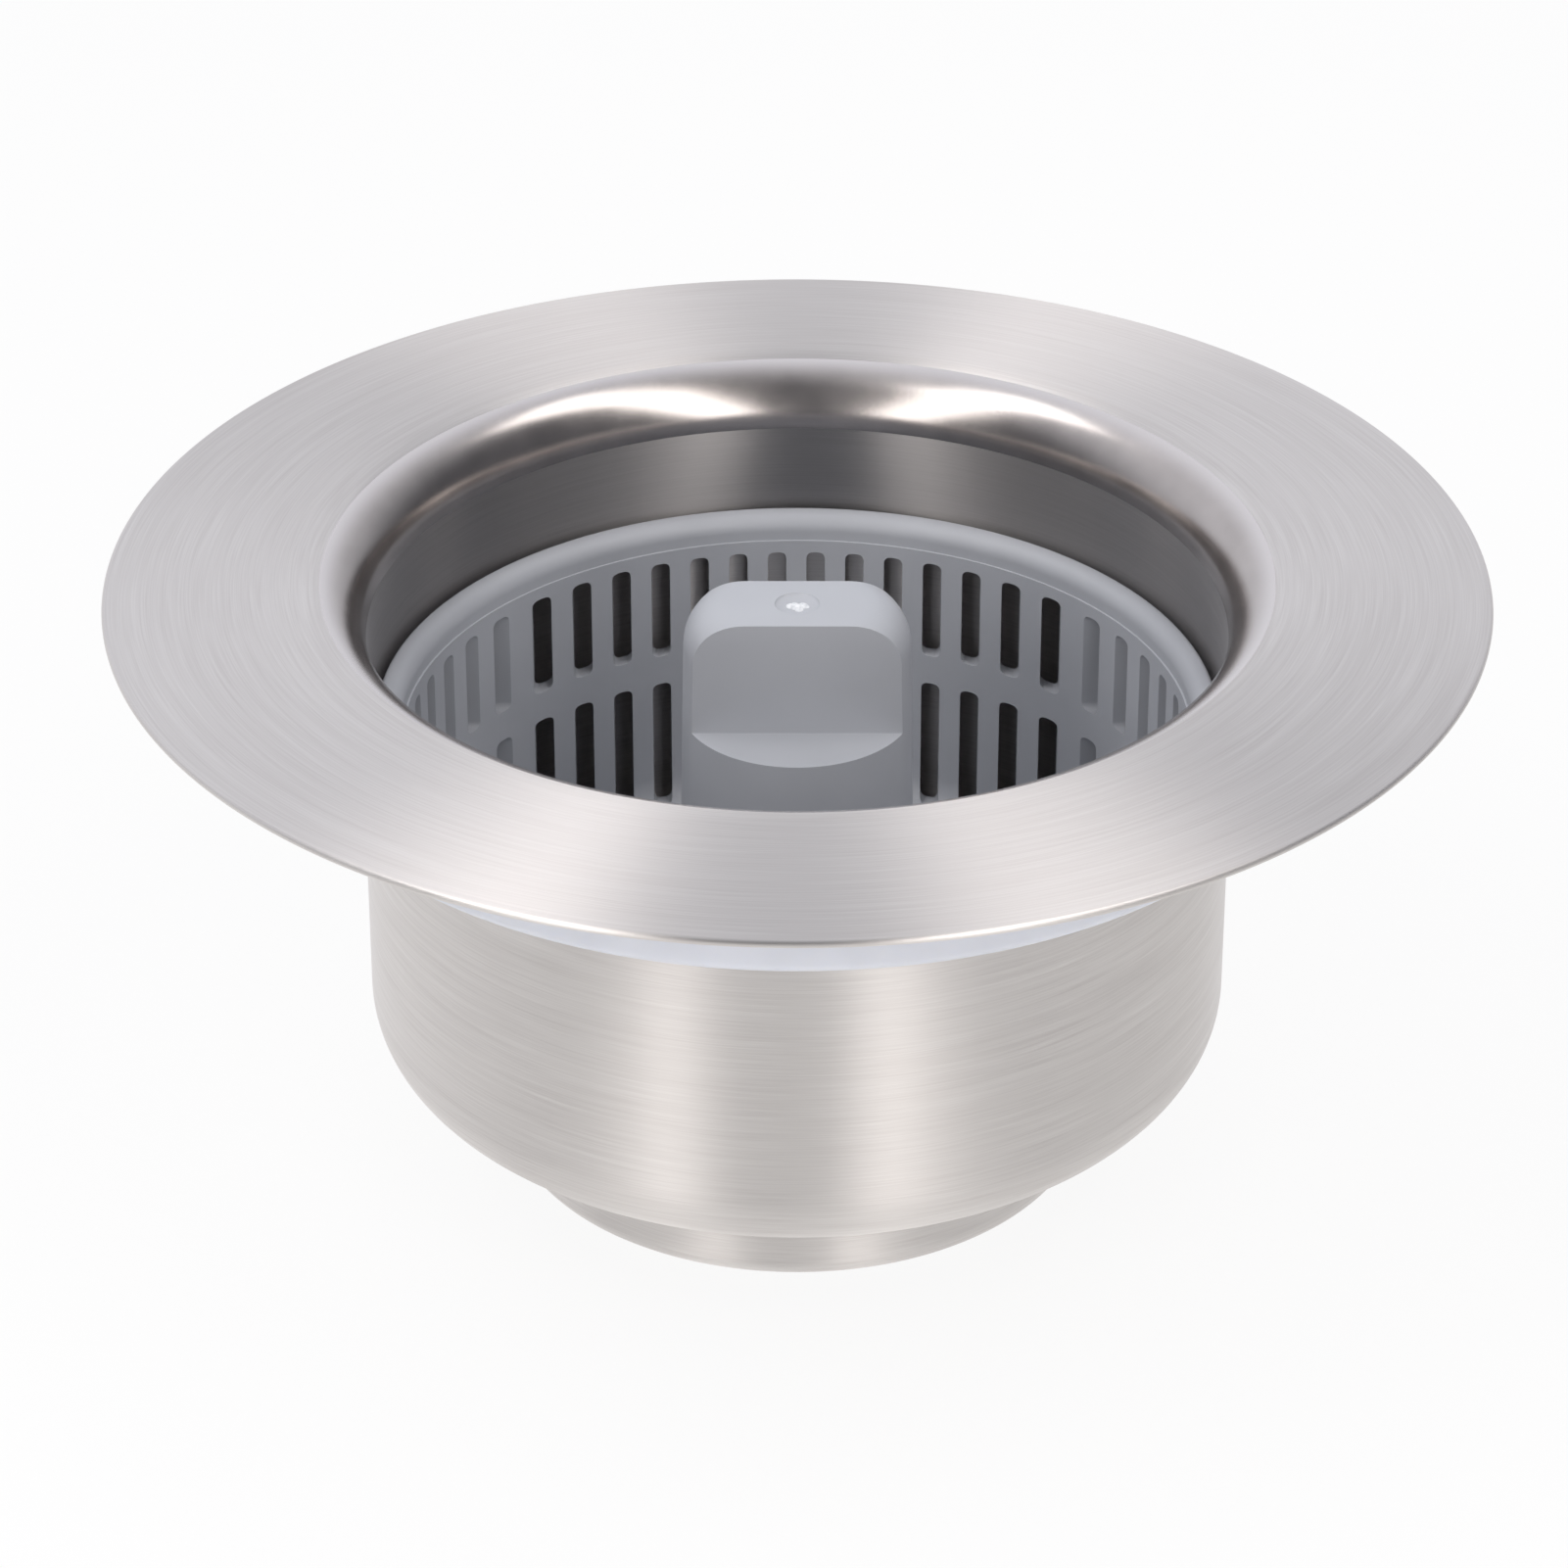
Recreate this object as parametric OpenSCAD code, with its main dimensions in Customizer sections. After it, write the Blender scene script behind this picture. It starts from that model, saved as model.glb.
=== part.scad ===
// Drop-in sink strainer: a drawn steel bowl with a wide flange, a soft seal
// under the flange, and a moulded basket with a grip post that lifts out.
// The origin is the centre of the outlet's bottom face, and +Z points up.

/* [Steel body] */
// Diameter of the wide flange
flange_d = 140; // [128:1:160]
// Thickness of the drawn sheet
sheet_t = 0.8; // [0.6:0.1:1.2]
// How far the flange climbs from its edge to the mouth
flange_crown = 1.1; // [0.4:0.1:3]
// Radius of the mouth, where the flange turns down into the cup
mouth_r = 6.5; // [4:0.5:8]
// Outer diameter of the cup, which passes the hole in the sink
cup_d = 89; // [84:1:96]
// Depth from the flange's edge to the underside of the cup
cup_depth = 54; // [50:1:70]
// Outer radius of the cup's bottom corner
cup_corner_r = 8; // [6:0.5:9]
// Outer diameter of the short outlet under the cup
outlet_d = 61.8; // [56:0.1:64]
// How far the outlet reaches below the cup
outlet_depth = 11.1; // [9:0.1:16]
// Outer radius of the outlet's bottom corner
outlet_corner_r = 2.5; // [1.5:0.1:3]
// Radius on top of the step from the cup's floor into the outlet
step_r = 2; // [1.2:0.1:2.4]
// Diameter of the drain hole in the outlet's bottom
drain_d = 52; // [46:1:54]

/* [Flange seal] */
// Width of the soft ring, from its hole to its outside
seal_w = 9.2; // [7:0.1:12]
// Depth from the flange's edge to the ring's underside
seal_depth = 13.7; // [8:0.1:16]
// Gap between the ring and the cup
seal_gap = 0.3; // [0.2:0.05:0.6]
// Rounding of the ring's outer bottom edge
seal_edge_r = 1.2; // [0.5:0.1:2.5]

/* [Basket] */
// Gap between the basket's rim and the inside of the cup
rim_gap = 0.7; // [0.4:0.1:1.2]
// Height of the basket from its foot to the top of its rim
basket_h = 38.5; // [37:0.5:46]
// Height of the rim's band
rim_h = 3; // [2:0.1:4]
// How far the rim stands out past the wall
rim_out = 1; // [0.6:0.1:1.5]
// Rounding of the rim's top inner edge
rim_inner_r = 1.2; // [0.6:0.1:1.3]
// Rounding of the rim's top outer edge
rim_outer_r = 0.5; // [0.3:0.1:0.8]
// Width of the small step inside, from the rim to the wall
rim_step_w = 0.3; // [0.2:0.05:0.4]
// Depth from the rim's top to the small step
rim_step_drop = 2.8; // [2:0.1:3.4]
// Thickness of the basket's wall
wall_t = 1.7; // [1.4:0.1:2]
// Thickness of the basket's floor
floor_t = 1.5; // [1.2:0.1:2]
// Inner radius of the basket's bottom corner
basket_corner_r = 3.5; // [2.5:0.1:4]
// Height of the foot ring under the floor
foot_h = 2.5; // [2:0.1:3]
// Width of the foot ring
foot_w = 1.6; // [1.2:0.1:2]
// Width of the drain gaps in the foot ring
foot_gap_w = 7; // [4:0.5:9]
// Number of drain gaps in the foot ring
foot_gaps = 8; // [4:1:10]
// Gap between the foot ring and the cup's floor
seat_gap = 0.2; // [0.1:0.05:0.3]

/* [Slots] */
// Width of a wall slot
slot_w = 2; // [1.2:0.1:2.4]
// Rounding of a wall slot's corners
slot_corner_r = 0.7; // [0.3:0.1:0.9]
// Distance between neighbouring wall slots
slot_pitch = 4.2; // [3.6:0.1:5]
// Height of the upper row of slots
upper_slot_h = 11.4; // [8:0.1:12]
// Height of the lower row of slots
lower_slot_h = 14.8; // [10:0.1:15]
// Depth from the rim's top to the upper row
upper_slot_drop = 4.2; // [3.6:0.1:4.6]
// Height of the solid band between the rows
slot_band_h = 3.4; // [2.6:0.1:3.8]
// Number of slots in the floor
floor_slots = 24; // [16:1:28]
// Width of a floor slot
floor_slot_w = 1.6; // [1.2:0.1:2]

/* [Grip post] */
// Diameter of the post at its top
post_d = 23.2; // [20:0.1:26]
// How much wider the post is at its base, for it to leave the mould
post_draft = 1.6; // [0.4:0.1:2]
// Height of the post above the basket's floor
post_h = 45.9; // [40:0.1:50]
// Thickness of the grip between its two flats
grip_t = 9.6; // [8:0.1:13]
// Height of the flats, from the ledge to the top
grip_h = 12.4; // [10:0.1:18]
// Rounding of the post's top corners
post_top_r = 4.5; // [3:0.1:5]
// Thickness of the post's wall
post_wall_t = 1.8; // [1.4:0.1:2.4]
// Width of the shoulder by which the post rests on the basket's floor
shoulder_w = 1.2; // [0.8:0.1:1.3]
// Diameter of the dimple round the moulding mark
dimple_d = 4.6; // [3:0.1:6]
// Depth of the dimple
dimple_depth = 0.5; // [0.3:0.1:0.8]
// Diameter of the moulding mark
mark_d = 1.3; // [0.8:0.1:2]

/* [Hidden] */
$fn = 96;
// Overrun of a cut past the face that it opens
cut = 1;
steel = "#c9c6c4";
silicone = "#d8dee6";
plastic = "#93999c";

edge_z = cup_depth + outlet_depth;
mouth_z = edge_z + flange_crown;
cup_r = cup_d / 2;
bore_r = cup_r - sheet_t;
mouth_c_r = bore_r + mouth_r;
mouth_c_z = mouth_z - mouth_r;
cup_floor_z = outlet_depth + sheet_t;
cup_corner_c_r = cup_r - cup_corner_r;
cup_corner_c_z = outlet_depth + cup_corner_r;
outlet_r = outlet_d / 2;
outlet_bore_r = outlet_r - sheet_t;
step_c_r = outlet_bore_r + step_r;
step_c_z = cup_floor_z - step_r;
outlet_corner_c_r = outlet_r - outlet_corner_r;

// Slope of the flange, as height lost for each unit of radius
flange_slope = flange_crown / (flange_d / 2 - mouth_c_r);
function flange_top_z(r) = mouth_z - (r - mouth_c_r) * flange_slope;

seal_in_r = cup_r + seal_gap;
seal_r = seal_in_r + seal_w;
seal_z = edge_z - seal_depth;
seal_bend_r = mouth_c_r - seal_in_r;

basket_z = cup_floor_z + seat_gap;
floor_z = basket_z + foot_h;
floor_top_z = floor_z + floor_t;
rim_top_z = basket_z + basket_h;
rim_r = bore_r - rim_gap;
wall_r = rim_r - rim_out;
wall_in_r = wall_r - wall_t;
rim_in_r = wall_in_r + rim_step_w;
basket_bend_r = basket_corner_r + wall_t;
basket_c_r = wall_r - basket_bend_r;
basket_c_z = floor_z + basket_bend_r;
foot_r = cup_corner_c_r - sheet_t;

// One row has as many slots in its front and back quarters as the chord of a quarter holds.
// Its side quarters have one less, so that the wall stays solid between two quarters.
front_slots = round(wall_in_r * sqrt(2) / slot_pitch);
side_slots = front_slots - 1;
slot_core_in = wall_in_r * 2 / 3;
upper_slot_z = rim_top_z - upper_slot_drop - upper_slot_h;
lower_slot_z = upper_slot_z - slot_band_h - lower_slot_h;

post_r = post_d / 2;
post_base_r = post_r + post_draft / 2;
post_top_z = floor_top_z + post_h;
ledge_z = post_top_z - grip_h;
spigot_r = post_base_r - shoulder_w;
spigot_bore_r = spigot_r - post_wall_t;
floor_slot_in_r = post_base_r + 2 * post_wall_t;
floor_slot_out_r = foot_r - foot_w - floor_slot_w / 2;

// One sheet bend: a quarter ring about its own centre, in quarter 0 to 3
module bend(outer_r, t, quarter) {
    rotate(quarter * 90)
    intersection() {
        difference() {
            circle(r = outer_r);
            circle(r = outer_r - t);
        }
        square(outer_r);
    }
}

// Section of the drawn sheet, from the flange's edge down to the drain hole
module body_section() {
    polygon([
        [mouth_c_r, mouth_z - sheet_t],
        [flange_d / 2, edge_z - sheet_t],
        [flange_d / 2, edge_z],
        [mouth_c_r, mouth_z]
    ]);
    translate([mouth_c_r, mouth_c_z]) bend(mouth_r, sheet_t, 1);
    translate([bore_r, cup_corner_c_z]) square([sheet_t, mouth_c_z - cup_corner_c_z]);
    translate([cup_corner_c_r, cup_corner_c_z]) bend(cup_corner_r, sheet_t, 3);
    translate([step_c_r, outlet_depth]) square([cup_corner_c_r - step_c_r, sheet_t]);
    translate([step_c_r, step_c_z]) bend(step_r, sheet_t, 1);
    translate([outlet_bore_r, outlet_corner_r]) square([sheet_t, step_c_z - outlet_corner_r]);
    translate([outlet_corner_c_r, outlet_corner_r]) bend(outlet_corner_r, sheet_t, 3);
    translate([drain_d / 2, 0]) square([outlet_corner_c_r - drain_d / 2, sheet_t]);
}

module strainer_body() {
    color(steel)
    rotate_extrude() body_section();
}

// Section of the seal, which fills the corner between the cup and the flange
module seal_section() {
    difference() {
        union() {
            polygon([
                [mouth_c_r, seal_z],
                [seal_r, seal_z],
                [seal_r, flange_top_z(seal_r) - sheet_t - seal_gap],
                [mouth_c_r, mouth_z - sheet_t - seal_gap]
            ]);
            translate([seal_in_r, seal_z]) square([seal_bend_r, mouth_c_z - seal_z]);
            translate([mouth_c_r, mouth_c_z]) bend(seal_bend_r, seal_bend_r, 1);
        }
        translate([seal_r - seal_edge_r, seal_z - cut])
        difference() {
            square([seal_edge_r + cut, seal_edge_r + cut]);
            translate([0, seal_edge_r + cut]) circle(r = seal_edge_r);
        }
    }
}

module flange_seal() {
    color(silicone)
    rotate_extrude() seal_section();
}

// Section of the basket: rim, wall, rounded corner, floor and foot ring
module basket_section() {
    step_z = rim_top_z - rim_step_drop;
    translate([wall_in_r, basket_c_z]) square([wall_t, step_z - basket_c_z]);
    translate([rim_in_r, rim_top_z - rim_h]) square([rim_r - rim_in_r, rim_h - rim_inner_r]);
    translate([rim_in_r + rim_inner_r, rim_top_z - rim_inner_r])
        square([rim_r - rim_in_r - rim_inner_r - rim_outer_r, rim_inner_r]);
    translate([rim_in_r + rim_inner_r, rim_top_z - rim_inner_r])
        bend(rim_inner_r, rim_inner_r, 1);
    translate([rim_r - rim_outer_r, rim_top_z - rim_inner_r])
        square([rim_outer_r, rim_inner_r - rim_outer_r]);
    translate([rim_r - rim_outer_r, rim_top_z - rim_outer_r])
        bend(rim_outer_r, rim_outer_r, 0);
    translate([basket_c_r, basket_c_z]) bend(basket_bend_r, wall_t, 3);
    translate([spigot_r, floor_z]) square([basket_c_r - spigot_r, floor_t]);
    translate([foot_r - foot_w, basket_z]) square([foot_w, foot_h]);
}

// One upright slot with rounded corners, from its own bottom centre
module slot_shape(h) {
    half_w = slot_w / 2;
    translate([-half_w + slot_corner_r, 0]) square([slot_w - 2 * slot_corner_r, h]);
    translate([-half_w, slot_corner_r]) square([slot_w, h - 2 * slot_corner_r]);
    for (x = [-half_w + slot_corner_r, half_w - slot_corner_r])
        for (y = [slot_corner_r, h - slot_corner_r])
            translate([x, y]) circle(r = slot_corner_r);
}

// The slots of one quarter all run the same way, as one sliding core makes them
module quarter_slots(count) {
    translate([0, -slot_core_in, 0])
    rotate([90, 0, 0])
    linear_extrude(rim_r - slot_core_in)
    for (i = [0 : count - 1])
        translate([(i - (count - 1) / 2) * slot_pitch, 0]) {
            translate([0, lower_slot_z]) slot_shape(lower_slot_h);
            translate([0, upper_slot_z]) slot_shape(upper_slot_h);
        }
}

module floor_slot() {
    translate([floor_slot_in_r, -floor_slot_w / 2, floor_z - cut])
        cube([floor_slot_out_r - floor_slot_in_r, floor_slot_w, floor_t + 2 * cut]);
}

module basket() {
    color(plastic)
    difference() {
        rotate_extrude() basket_section();
        for (side = [0 : 1]) {
            rotate(side * 180) quarter_slots(front_slots);
            rotate(90 + side * 180) quarter_slots(side_slots);
        }
        for (i = [0 : floor_slots - 1]) rotate((i + 0.5) * 360 / floor_slots) floor_slot();
        for (i = [0 : foot_gaps - 1])
            rotate(i * 360 / foot_gaps)
            translate([foot_r - foot_w - cut, -foot_gap_w / 2, basket_z - cut])
                cube([foot_w + 2 * cut, foot_gap_w, foot_h + cut]);
    }
}

// Outline of the post or of its core: a slight cone with its top corner rounded
module post_section(top_r, base_r, top_z, corner_r) {
    corner_z = top_z - corner_r;
    polygon([
        [0, floor_top_z],
        [base_r, floor_top_z],
        [top_r, corner_z],
        [0, corner_z]
    ]);
    translate([0, corner_z]) square([top_r - corner_r, corner_r]);
    translate([top_r - corner_r, corner_z]) bend(corner_r, corner_r, 0);
}

// The two blocks that leave the flats, with t as the grip's thickness
module flat_cuts(t, z) {
    for (side = [-1, 1])
        translate([-post_base_r - cut, side > 0 ? t / 2 : -t / 2 - post_base_r, z])
            cube([2 * (post_base_r + cut), post_base_r, grip_h + cut]);
}

module grip_post() {
    color(plastic)
    difference() {
        union() {
            difference() {
                rotate_extrude()
                    post_section(post_r, post_base_r, post_top_z, post_top_r);
                flat_cuts(grip_t, ledge_z);
            }
            translate([0, 0, floor_z]) cylinder(r = spigot_r, h = floor_t + post_wall_t);
        }
        difference() {
            rotate_extrude()
                post_section(post_r - post_wall_t, post_base_r - post_wall_t,
                    post_top_z - post_wall_t, post_top_r - post_wall_t);
            flat_cuts(grip_t - 2 * post_wall_t, ledge_z - post_wall_t);
        }
        translate([0, 0, floor_z - cut]) cylinder(r = spigot_bore_r, h = floor_t + 2 * cut);
        translate([0, 0, post_top_z - dimple_depth])
        difference() {
            cylinder(d = dimple_d, h = dimple_depth + cut);
            cylinder(d = mark_d, h = dimple_depth);
        }
    }
}

strainer_body();
flange_seal();
basket();
grip_post();
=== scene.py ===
# %% [markdown]
# A drop-in sink strainer, dressed for a studio picture.
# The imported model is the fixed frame: it gives the real size and place of every piece.
# Each cell below makes one piece or one finish, and says what the real one is like first.

# %% Load the frame
import math

import bmesh
import bpy
from mathutils import Matrix, Quaternion, Vector


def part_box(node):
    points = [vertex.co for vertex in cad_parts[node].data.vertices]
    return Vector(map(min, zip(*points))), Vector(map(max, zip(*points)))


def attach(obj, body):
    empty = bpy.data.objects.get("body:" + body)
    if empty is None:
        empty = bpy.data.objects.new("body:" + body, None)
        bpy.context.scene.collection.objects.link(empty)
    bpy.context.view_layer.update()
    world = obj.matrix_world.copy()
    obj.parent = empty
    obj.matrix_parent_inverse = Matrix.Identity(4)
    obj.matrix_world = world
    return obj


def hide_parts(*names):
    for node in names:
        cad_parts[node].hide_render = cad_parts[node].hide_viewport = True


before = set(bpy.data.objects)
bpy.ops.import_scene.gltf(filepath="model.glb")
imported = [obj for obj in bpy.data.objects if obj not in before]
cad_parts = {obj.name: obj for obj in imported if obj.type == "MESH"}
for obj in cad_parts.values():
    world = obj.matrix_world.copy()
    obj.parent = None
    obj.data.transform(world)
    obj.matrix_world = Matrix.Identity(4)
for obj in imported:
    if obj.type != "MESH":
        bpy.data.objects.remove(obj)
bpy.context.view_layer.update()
print("nodes:", sorted(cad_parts))

# %% [markdown]
# Blender works in metres here, and a maker thinks in millimetres.
# One scale value turns every size below into metres, so each number can be read off a drawing.

# %% Sizes of the pieces, in millimetres
MM = 0.001
_, body_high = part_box("strainer_body")
FLANGE_R = body_high.x / MM
MOUTH_Z = body_high.z / MM
SHEET_T = 0.8
FLANGE_CROWN = 1.1
EDGE_Z = MOUTH_Z - FLANGE_CROWN
MOUTH_R = 6.5
CUP_R = 44.5
CUP_FLOOR_Z = 11.9
CUP_CORNER_R = 8.0
OUTLET_R = 30.9
OUTLET_CORNER_R = 2.5
STEP_R = 2.0
DRAIN_R = 26.0
print("flange radius", round(FLANGE_R, 2), "mouth height", round(MOUTH_Z, 2))

# %% [markdown]
# A turned or drawn piece is round about one axis, so one outline says all of it.
# An outline is a list of points, each a distance from the axis and a height.
# Its round stretches are worked out as arcs, so their number of points is easy to change.


# %% Round stretches of an outline
def arc(centre_r, centre_z, radius, start, end, steps):
    """Points of a round stretch of an outline, from start to end degrees."""
    points = []
    for i in range(steps + 1):
        a = math.radians(start + (end - start) * i / steps)
        points.append((centre_r + radius * math.cos(a), centre_z + radius * math.sin(a)))
    return points


print("a quarter circle:", [(round(r, 2), round(z, 2)) for r, z in arc(0, 0, 1, 0, 90, 2)])

# %% [markdown]
# An operator acts on everything that is selected, as in the window.
# So one helper selects nothing and another selects a single piece, and both are used before each step.


# %% Helpers for selecting
def deselect_all():
    """Leaves edit mode and selects nothing, so that the next operator acts on its own piece alone."""
    if bpy.context.mode != "OBJECT":
        bpy.ops.object.mode_set(mode="OBJECT")
    bpy.ops.object.select_all(action="DESELECT")


def make_active(piece):
    """Selects one piece alone and makes it the one that operators act on."""
    deselect_all()
    piece.select_set(True)
    bpy.context.view_layer.objects.active = piece


deselect_all()
print("selected pieces:", len(bpy.context.selected_objects))

# %% [markdown]
# By hand a turned piece is made from a single point.
# The point is extruded along the outline, the outline is closed to a face, and the face is spun.
# The spin's ends meet, so their doubled points are merged, and the faces are then pointed outwards.

# %% Helpers for spinning an outline
MERGE_DISTANCE = 0.002


def turn_selection(degrees):
    """Turns the selected points of the piece in edit mode about the Z axis."""
    piece = bpy.context.edit_object
    bpy.ops.object.mode_set(mode="OBJECT")
    piece.data.transform(Matrix.Rotation(math.radians(degrees), 4, "Z"))
    bpy.ops.object.mode_set(mode="EDIT")
    bpy.ops.mesh.select_all(action="SELECT")


def outline_piece(name, outline):
    """Draws an outline in the XZ plane by extruding one point along it, and closes it."""
    deselect_all()
    bpy.ops.mesh.primitive_plane_add(size=MM, location=(0, 0, 0))
    piece = bpy.context.active_object
    piece.name = name
    bpy.ops.object.mode_set(mode="EDIT")
    bpy.ops.mesh.select_all(action="SELECT")
    bpy.ops.mesh.merge(type="CENTER")
    first = outline[0]
    bpy.ops.transform.translate(value=(first[0] * MM, 0, first[1] * MM))
    for before, after in zip(outline, outline[1:]):
        step = ((after[0] - before[0]) * MM, 0, (after[1] - before[1]) * MM)
        bpy.ops.mesh.extrude_region_move(TRANSFORM_OT_translate={"value": step})
    bpy.ops.object.mode_set(mode="OBJECT")
    ends = (0, len(piece.data.vertices) - 1)
    for vertex in piece.data.vertices:
        vertex.select = vertex.index in ends
    bpy.ops.object.mode_set(mode="EDIT")
    bpy.ops.mesh.edge_face_add()
    bpy.ops.mesh.select_all(action="SELECT")
    return piece


def turned_piece(name, outline, steps, sweep=360.0, start=0.0):
    """Spins a closed outline about the Z axis, clockwise seen from above, by degrees."""
    piece = outline_piece(name, outline)
    if start:
        turn_selection(start)
    bpy.ops.mesh.spin(
        steps=steps, angle=math.radians(sweep), center=(0, 0, 0), axis=(0, 0, 1)
    )
    bpy.ops.mesh.select_all(action="SELECT")
    bpy.ops.mesh.remove_doubles(threshold=MERGE_DISTANCE * MM)
    bpy.ops.mesh.normals_make_consistent(inside=False)
    bpy.ops.object.mode_set(mode="OBJECT")
    return piece


print("points closer than", MERGE_DISTANCE, "mm are merged")

# %% [markdown]
# Each finished piece is shaded smooth where it is round and keeps its sharp edges where it is bent more.
# Its size is printed in millimetres, to be held against the real one.

# %% Helpers for finishing a piece
SHARP_ANGLE = 35.0


def smooth(piece, angle=SHARP_ANGLE):
    """Shades the piece smooth, and keeps edges sharp that are bent by more than the angle."""
    make_active(piece)
    bpy.ops.object.shade_smooth_by_angle(angle=math.radians(angle))


def report(piece):
    """Prints the piece's size in millimetres and its number of faces."""
    size = [round(value / MM, 2) for value in piece.dimensions]
    print(piece.name, "mm", size, "faces", len(piece.data.polygons))


print("edges bent by more than", SHARP_ANGLE, "degrees stay sharp")

# %% [markdown]
# The bowl is one disc of stainless sheet, drawn into a cup and a short outlet, then brushed while it turns.
# Its wall is the same thickness all along.
# So the outline runs down the top side and back along the under side.
# The bore's upper part gets darker colours than the rest, painted shade of the deep cup, so the outline has
# a point where that part ends.
# The cut edges of the flange and the drain hole are rounded, because they catch a thin line of light.

# %% The drawn steel bowl
BOWL_TURN_STEPS = 288
BEND_STEPS = 20
EDGE_STEPS = 8
# The bore's painted shade ends at this height.
SHADE_END_Z = 46.0
half_t = SHEET_T / 2
bore_r = CUP_R - SHEET_T
mouth_c_r = bore_r + MOUTH_R
mouth_c_z = MOUTH_Z - MOUTH_R
cup_c_r = CUP_R - CUP_CORNER_R
cup_c_z = CUP_FLOOR_Z - SHEET_T + CUP_CORNER_R
outlet_bore_r = OUTLET_R - SHEET_T
step_c_r = outlet_bore_r + STEP_R
step_c_z = CUP_FLOOR_Z - STEP_R
outlet_c_r = OUTLET_R - OUTLET_CORNER_R

top_side = (
    arc(FLANGE_R - half_t, EDGE_Z - half_t, half_t, -90, 90, EDGE_STEPS)
    + arc(mouth_c_r, mouth_c_z, MOUTH_R, 90, 180, BEND_STEPS)
    + [(bore_r, SHADE_END_Z)]
    + arc(cup_c_r, cup_c_z, CUP_CORNER_R - SHEET_T, 0, -90, BEND_STEPS)
    + arc(step_c_r, step_c_z, STEP_R, 90, 180, EDGE_STEPS)
    + arc(outlet_c_r, OUTLET_CORNER_R, OUTLET_CORNER_R - SHEET_T, 0, -90, EDGE_STEPS)
)
under_side = (
    arc(DRAIN_R + half_t, half_t, half_t, 90, 270, EDGE_STEPS)
    + arc(outlet_c_r, OUTLET_CORNER_R, OUTLET_CORNER_R, -90, 0, EDGE_STEPS)
    + arc(step_c_r, step_c_z, STEP_R - SHEET_T, 180, 90, EDGE_STEPS)
    + arc(cup_c_r, cup_c_z, CUP_CORNER_R, -90, 0, BEND_STEPS)
    + arc(mouth_c_r, mouth_c_z, MOUTH_R - SHEET_T, 180, 90, BEND_STEPS)
)
bowl = turned_piece("brushed_bowl", top_side + under_side, BOWL_TURN_STEPS)
smooth(bowl)
report(bowl)

# %% [markdown]
# The seal is a thick ring cut from soft, slightly clear silicone.
# It fills the corner between the cup and the flange, so its top follows the bend of the sheet.

# %% The soft seal
seal_low, seal_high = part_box("flange_seal")
SEAL_R = seal_high.x / MM
SEAL_Z = seal_low.z / MM
SEAL_GAP = 0.3
SEAL_EDGE_R = 1.2
SEAL_LIP_R = 0.4
SEAL_TURN_STEPS = 192
SEAL_BEND_STEPS = 12
SEAL_LIP_STEPS = 4
seal_in_r = CUP_R + SEAL_GAP
seal_bend_r = mouth_c_r - seal_in_r
flange_slope = FLANGE_CROWN / (FLANGE_R - mouth_c_r)
seal_top_z = MOUTH_Z - (SEAL_R - mouth_c_r) * flange_slope - SHEET_T - SEAL_GAP
seal_outline = (
    arc(SEAL_R - SEAL_EDGE_R, SEAL_Z + SEAL_EDGE_R, SEAL_EDGE_R, -90, 0, EDGE_STEPS)
    + [(SEAL_R, seal_top_z)]
    + arc(mouth_c_r, mouth_c_z, seal_bend_r, 90, 180, SEAL_BEND_STEPS)
    + arc(seal_in_r + SEAL_LIP_R, SEAL_Z + SEAL_LIP_R, SEAL_LIP_R, 180, 270, SEAL_LIP_STEPS)
)
seal = turned_piece("silicone_seal", seal_outline, SEAL_TURN_STEPS)
smooth(seal)
report(seal)

# %% [markdown]
# The basket is one grey moulding. Four side cores make its slots.
# So the slots of one quarter all run the same way.
# That is also the quickest way to model it: cut one quarter, then copy it round the axis.
# The wall is spun as a quarter turn first, and its two open sides are closed while the slots are cut.

# %% Sizes of the basket
basket_low, basket_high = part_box("basket")
RIM_R = basket_high.x / MM
BASKET_Z = basket_low.z / MM
RIM_TOP_Z = basket_high.z / MM
RIM_H = 3.0
RIM_OUT = 1.0
RIM_INNER_R = 1.8
RIM_OUTER_R = 0.5
RIM_STEP_W = 0.2
RIM_STEP_DROP = 2.8
WALL_T = 1.7
FLOOR_T = 1.5
FOOT_H = 2.5
FOOT_W = 1.6
FOOT_R = 35.7
SMALL_EDGE_R = 0.3
BASKET_CORNER_R = 3.5
SPIGOT_R = 11.2
SLOT_W = 2.0
SLOT_CORNER_R = 0.7
SLOT_PITCH = 4.2
FRONT_SLOTS = 14
SIDE_SLOTS = 13
UPPER_SLOT_H = 11.4
LOWER_SLOT_H = 14.8
UPPER_SLOT_DROP = 4.2
SLOT_BAND_H = 3.4
wall_r = RIM_R - RIM_OUT
wall_in_r = wall_r - WALL_T
rim_in_r = wall_in_r + RIM_STEP_W
step_z = RIM_TOP_Z - RIM_STEP_DROP
floor_z = BASKET_Z + FOOT_H
floor_top_z = floor_z + FLOOR_T
basket_bend_r = BASKET_CORNER_R + WALL_T
basket_c_r = wall_r - basket_bend_r
basket_c_z = floor_z + basket_bend_r
upper_slot_z = RIM_TOP_Z - UPPER_SLOT_DROP - UPPER_SLOT_H
lower_slot_z = upper_slot_z - SLOT_BAND_H - LOWER_SLOT_H
print("slot rows from", round(lower_slot_z, 2), "and", round(upper_slot_z, 2))

# %% [markdown]
# The outline goes up from the wall's inner step over the rim and down the outside.
# Then it goes round the foot and back along the floor and the inside.
# It stops at the post's spigot, because the post closes the floor's middle.

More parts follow.
